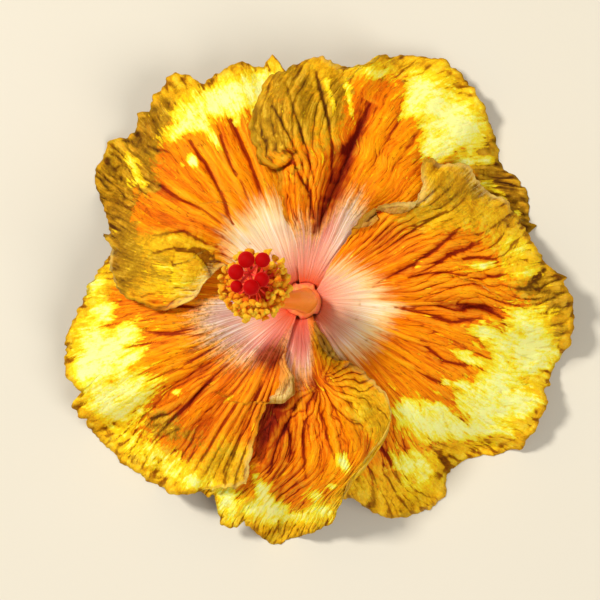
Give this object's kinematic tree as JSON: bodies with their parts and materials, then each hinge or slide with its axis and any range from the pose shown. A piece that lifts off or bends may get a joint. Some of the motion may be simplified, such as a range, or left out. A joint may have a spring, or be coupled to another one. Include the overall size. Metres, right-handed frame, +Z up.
{
  "type": "hibiscus flower",
  "caption": "Large ruffled hibiscus bloom, picked with a short stalk and lying face up on its drooping petal edges.",
  "frame": {"origin": "on the table, under the middle of the bloom's outline", "axes": "+Z up, out of the open face of the bloom; +Y towards the top of the picture; +X to its right"},
  "size_m": [0.1716, 0.1674, 0.0811],
  "materials": {
    "petal_upper_left": "matte",
    "petal_top": "matte",
    "petal_right": "matte",
    "petal_bottom": "matte",
    "petal_lower_left": "matte",
    "staminal_column": "satin",
    "pistil": "matte",
    "calyx": "matte",
    "epicalyx": "matte",
    "stalk": "matte"
  },
  "bodies": {
    "root": {"petal_upper_left": "petal_upper_left", "petal_top": "petal_top", "petal_right": "petal_right", "petal_bottom": "petal_bottom", "petal_lower_left": "petal_lower_left", "staminal_column": "staminal_column", "pistil": "pistil", "calyx": "calyx", "epicalyx": "epicalyx", "stalk": "stalk"}
  },
  "joints": []
}
